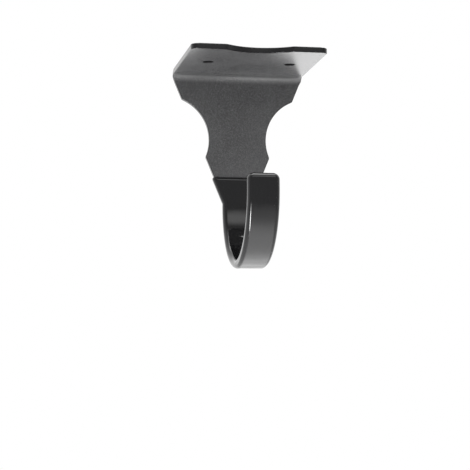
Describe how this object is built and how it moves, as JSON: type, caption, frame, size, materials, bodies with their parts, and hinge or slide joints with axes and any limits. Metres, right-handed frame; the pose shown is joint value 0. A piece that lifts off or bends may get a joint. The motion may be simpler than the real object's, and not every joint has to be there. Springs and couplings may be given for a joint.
{
  "type": "bicycle hanger bracket",
  "caption": "Bent sheet-steel bracket that screws up under a ceiling, beam or shelf, with a soft-coated U-shaped hook that holds a bicycle by the rim of one wheel.",
  "frame": {"origin": "on the flange's upper face, which lies against the ceiling, midway between the two screw holes", "axes": "+Z out of the flange's upper face, up into the ceiling; -Y from the plate towards the hook's front arm and the flange's front edge; X across the part, which is symmetric about X = 0"},
  "size_m": [0.101, 0.1068, 0.1589],
  "materials": {
    "powder_coat": "black fine-texture powder coat on steel, satin",
    "soft_pvc": "black dip-moulded soft PVC, smooth and glossy"
  },
  "bodies": {
    "root": {"steel_bracket": "powder_coat", "hook_coat": "soft_pvc"}
  },
  "joints": []
}
